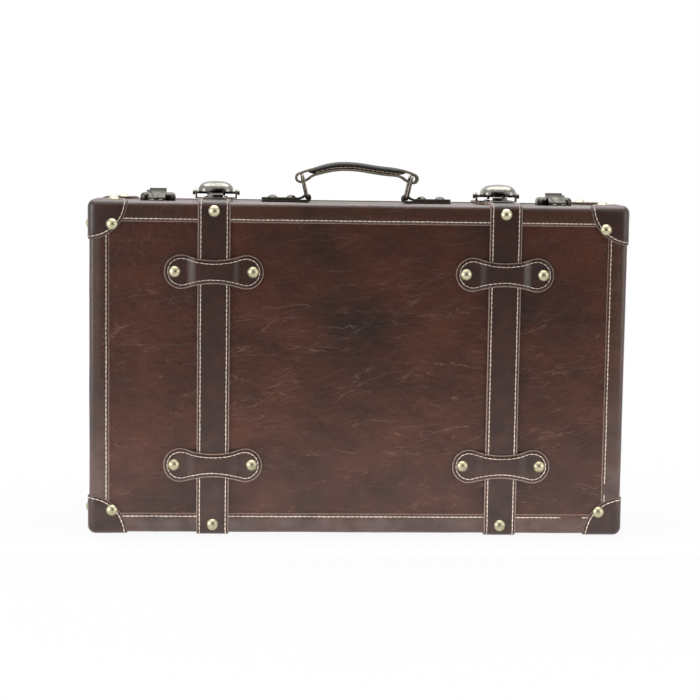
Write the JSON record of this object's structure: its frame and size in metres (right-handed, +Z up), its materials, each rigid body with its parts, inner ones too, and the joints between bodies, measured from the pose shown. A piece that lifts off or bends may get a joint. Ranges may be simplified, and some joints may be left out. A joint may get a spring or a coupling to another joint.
{
  "type": "suitcase",
  "caption": "Vintage leather-covered suitcase with hinged lid, straps nailed under dog-bone tabs, corner patches, two domed strap latches, two side locks and an arched ring handle",
  "frame": {"origin": "on the ground under the middle of the case, which stands on its hinge side", "axes": "+X to the right seen from the lid's face, -Y out of the lid's face, +Z up to the handle"},
  "size_m": [0.5068, 0.1716, 0.3501],
  "materials": {
    "brown_leather": "mottled brown leather with fine creases",
    "dark_leather": "smooth dark brown leather with pale stitching",
    "plywood": "plain sanded plywood",
    "lining_cloth": "beige woven cotton lining",
    "nail_brass": "aged pale brass",
    "nickel": "worn nickel-plated steel",
    "ring_wire": "dull grey-brown steel wire"
  },
  "bodies": {
    "base": {"base_back_board": "plywood", "base_top_board": "plywood", "base_bottom_board": "plywood", "base_left_board": "plywood", "base_right_board": "plywood", "base_leather": "brown_leather", "base_edge_band": "brown_leather", "base_lining": "lining_cloth", "rim_lip": "lining_cloth", "base_corner_caps": "dark_leather", "base_strap_left": "dark_leather", "base_strap_right": "dark_leather", "base_strap_tabs": "dark_leather", "base_nails": "nail_brass", "base_feet": "nail_brass", "base_hinge_leaves": "nickel", "hinge_pins": "nickel", "base_hinge_rivets": "nickel", "chape_left": "dark_leather", "chape_right": "dark_leather", "chape_rivets": "nail_brass", "latch_plate_left": "nickel", "latch_plate_right": "nickel", "latch_plate_rivets": "nickel", "latch_pins": "nickel", "lock_case_left": "nickel", "lock_case_right": "nickel"},
    "lid": {"lid_front_board": "plywood", "lid_top_board": "plywood", "lid_bottom_board": "plywood", "lid_left_board": "plywood", "lid_right_board": "plywood", "lid_leather": "brown_leather", "lid_edge_band": "brown_leather", "lid_lining": "lining_cloth", "lid_corner_caps": "dark_leather", "lid_strap_left": "dark_leather", "lid_strap_right": "dark_leather", "lid_strap_tabs": "dark_leather", "lid_nails": "nail_brass", "lid_feet": "nail_brass", "lid_hinge_leaves": "nickel", "lid_hinge_rivets": "nickel", "keeper_left": "nickel", "keeper_right": "nickel", "keeper_rivets": "nickel", "hasp_leaf_left": "nickel", "hasp_leaf_right": "nickel", "hasp_leaf_rivets": "nickel", "hasp_pins": "nickel"},
    "ring_left": {"ring_left": "ring_wire"},
    "ring_right": {"ring_right": "ring_wire"},
    "handle": {"handle_grip": "dark_leather"},
    "latch_left": {"latch_lever_left": "nickel"},
    "latch_right": {"latch_lever_right": "nickel"},
    "hasp_left": {"hasp_left": "nickel"},
    "hasp_right": {"hasp_right": "nickel"},
    "button_left": {"lock_button_left": "nickel"},
    "button_right": {"lock_button_right": "nickel"}
  },
  "joints": [
    {"name": "lid_hinge", "type": "hinge", "parent": "base", "child": "lid", "pos_m": [0, -0.022, 0.0032], "axis": [1, 0, 0], "range_deg": [0, 105]},
    {"name": "ring_left_swing", "type": "hinge", "parent": "base", "child": "ring_left", "pos_m": [-0.0477, 0, 0.3153], "axis": [0, 1, 0], "range_deg": [-50, 50]},
    {"name": "ring_right_swing", "type": "hinge", "parent": "base", "child": "ring_right", "pos_m": [0.0477, 0, 0.3153], "axis": [0, 1, 0], "range_deg": [-50, 50]},
    {"name": "handle_pivot", "type": "hinge", "parent": "ring_left", "child": "handle", "pos_m": [-0.05248, 0, 0.33636], "axis": [0, 1, 0], "range_deg": [-50, 50]},
    {"name": "latch_left_lift", "type": "hinge", "parent": "base", "child": "latch_left", "pos_m": [-0.1345, -0.004, 0.3195], "axis": [-1, 0, 0], "range_deg": [-5, 85]},
    {"name": "latch_right_lift", "type": "hinge", "parent": "base", "child": "latch_right", "pos_m": [0.1345, -0.004, 0.3195], "axis": [-1, 0, 0], "range_deg": [-5, 85]},
    {"name": "hasp_left_lift", "type": "hinge", "parent": "lid", "child": "hasp_left", "pos_m": [-0.1895, -0.034, 0.3132], "axis": [1, 0, 0], "range_deg": [0, 110]},
    {"name": "hasp_right_lift", "type": "hinge", "parent": "lid", "child": "hasp_right", "pos_m": [0.1895, -0.034, 0.3132], "axis": [1, 0, 0], "range_deg": [0, 110]},
    {"name": "button_left_slide", "type": "slide", "parent": "base", "child": "button_left", "axis": [1, 0, 0], "range_m": [0, 0.004]},
    {"name": "button_right_slide", "type": "slide", "parent": "base", "child": "button_right", "axis": [-1, 0, 0], "range_m": [0, 0.004]}
  ],
  "couplings": [
    {"joint": "ring_right_swing", "follows": "ring_left_swing", "ratio": 1},
    {"joint": "handle_pivot", "follows": "ring_left_swing", "ratio": -0.916}
  ]
}
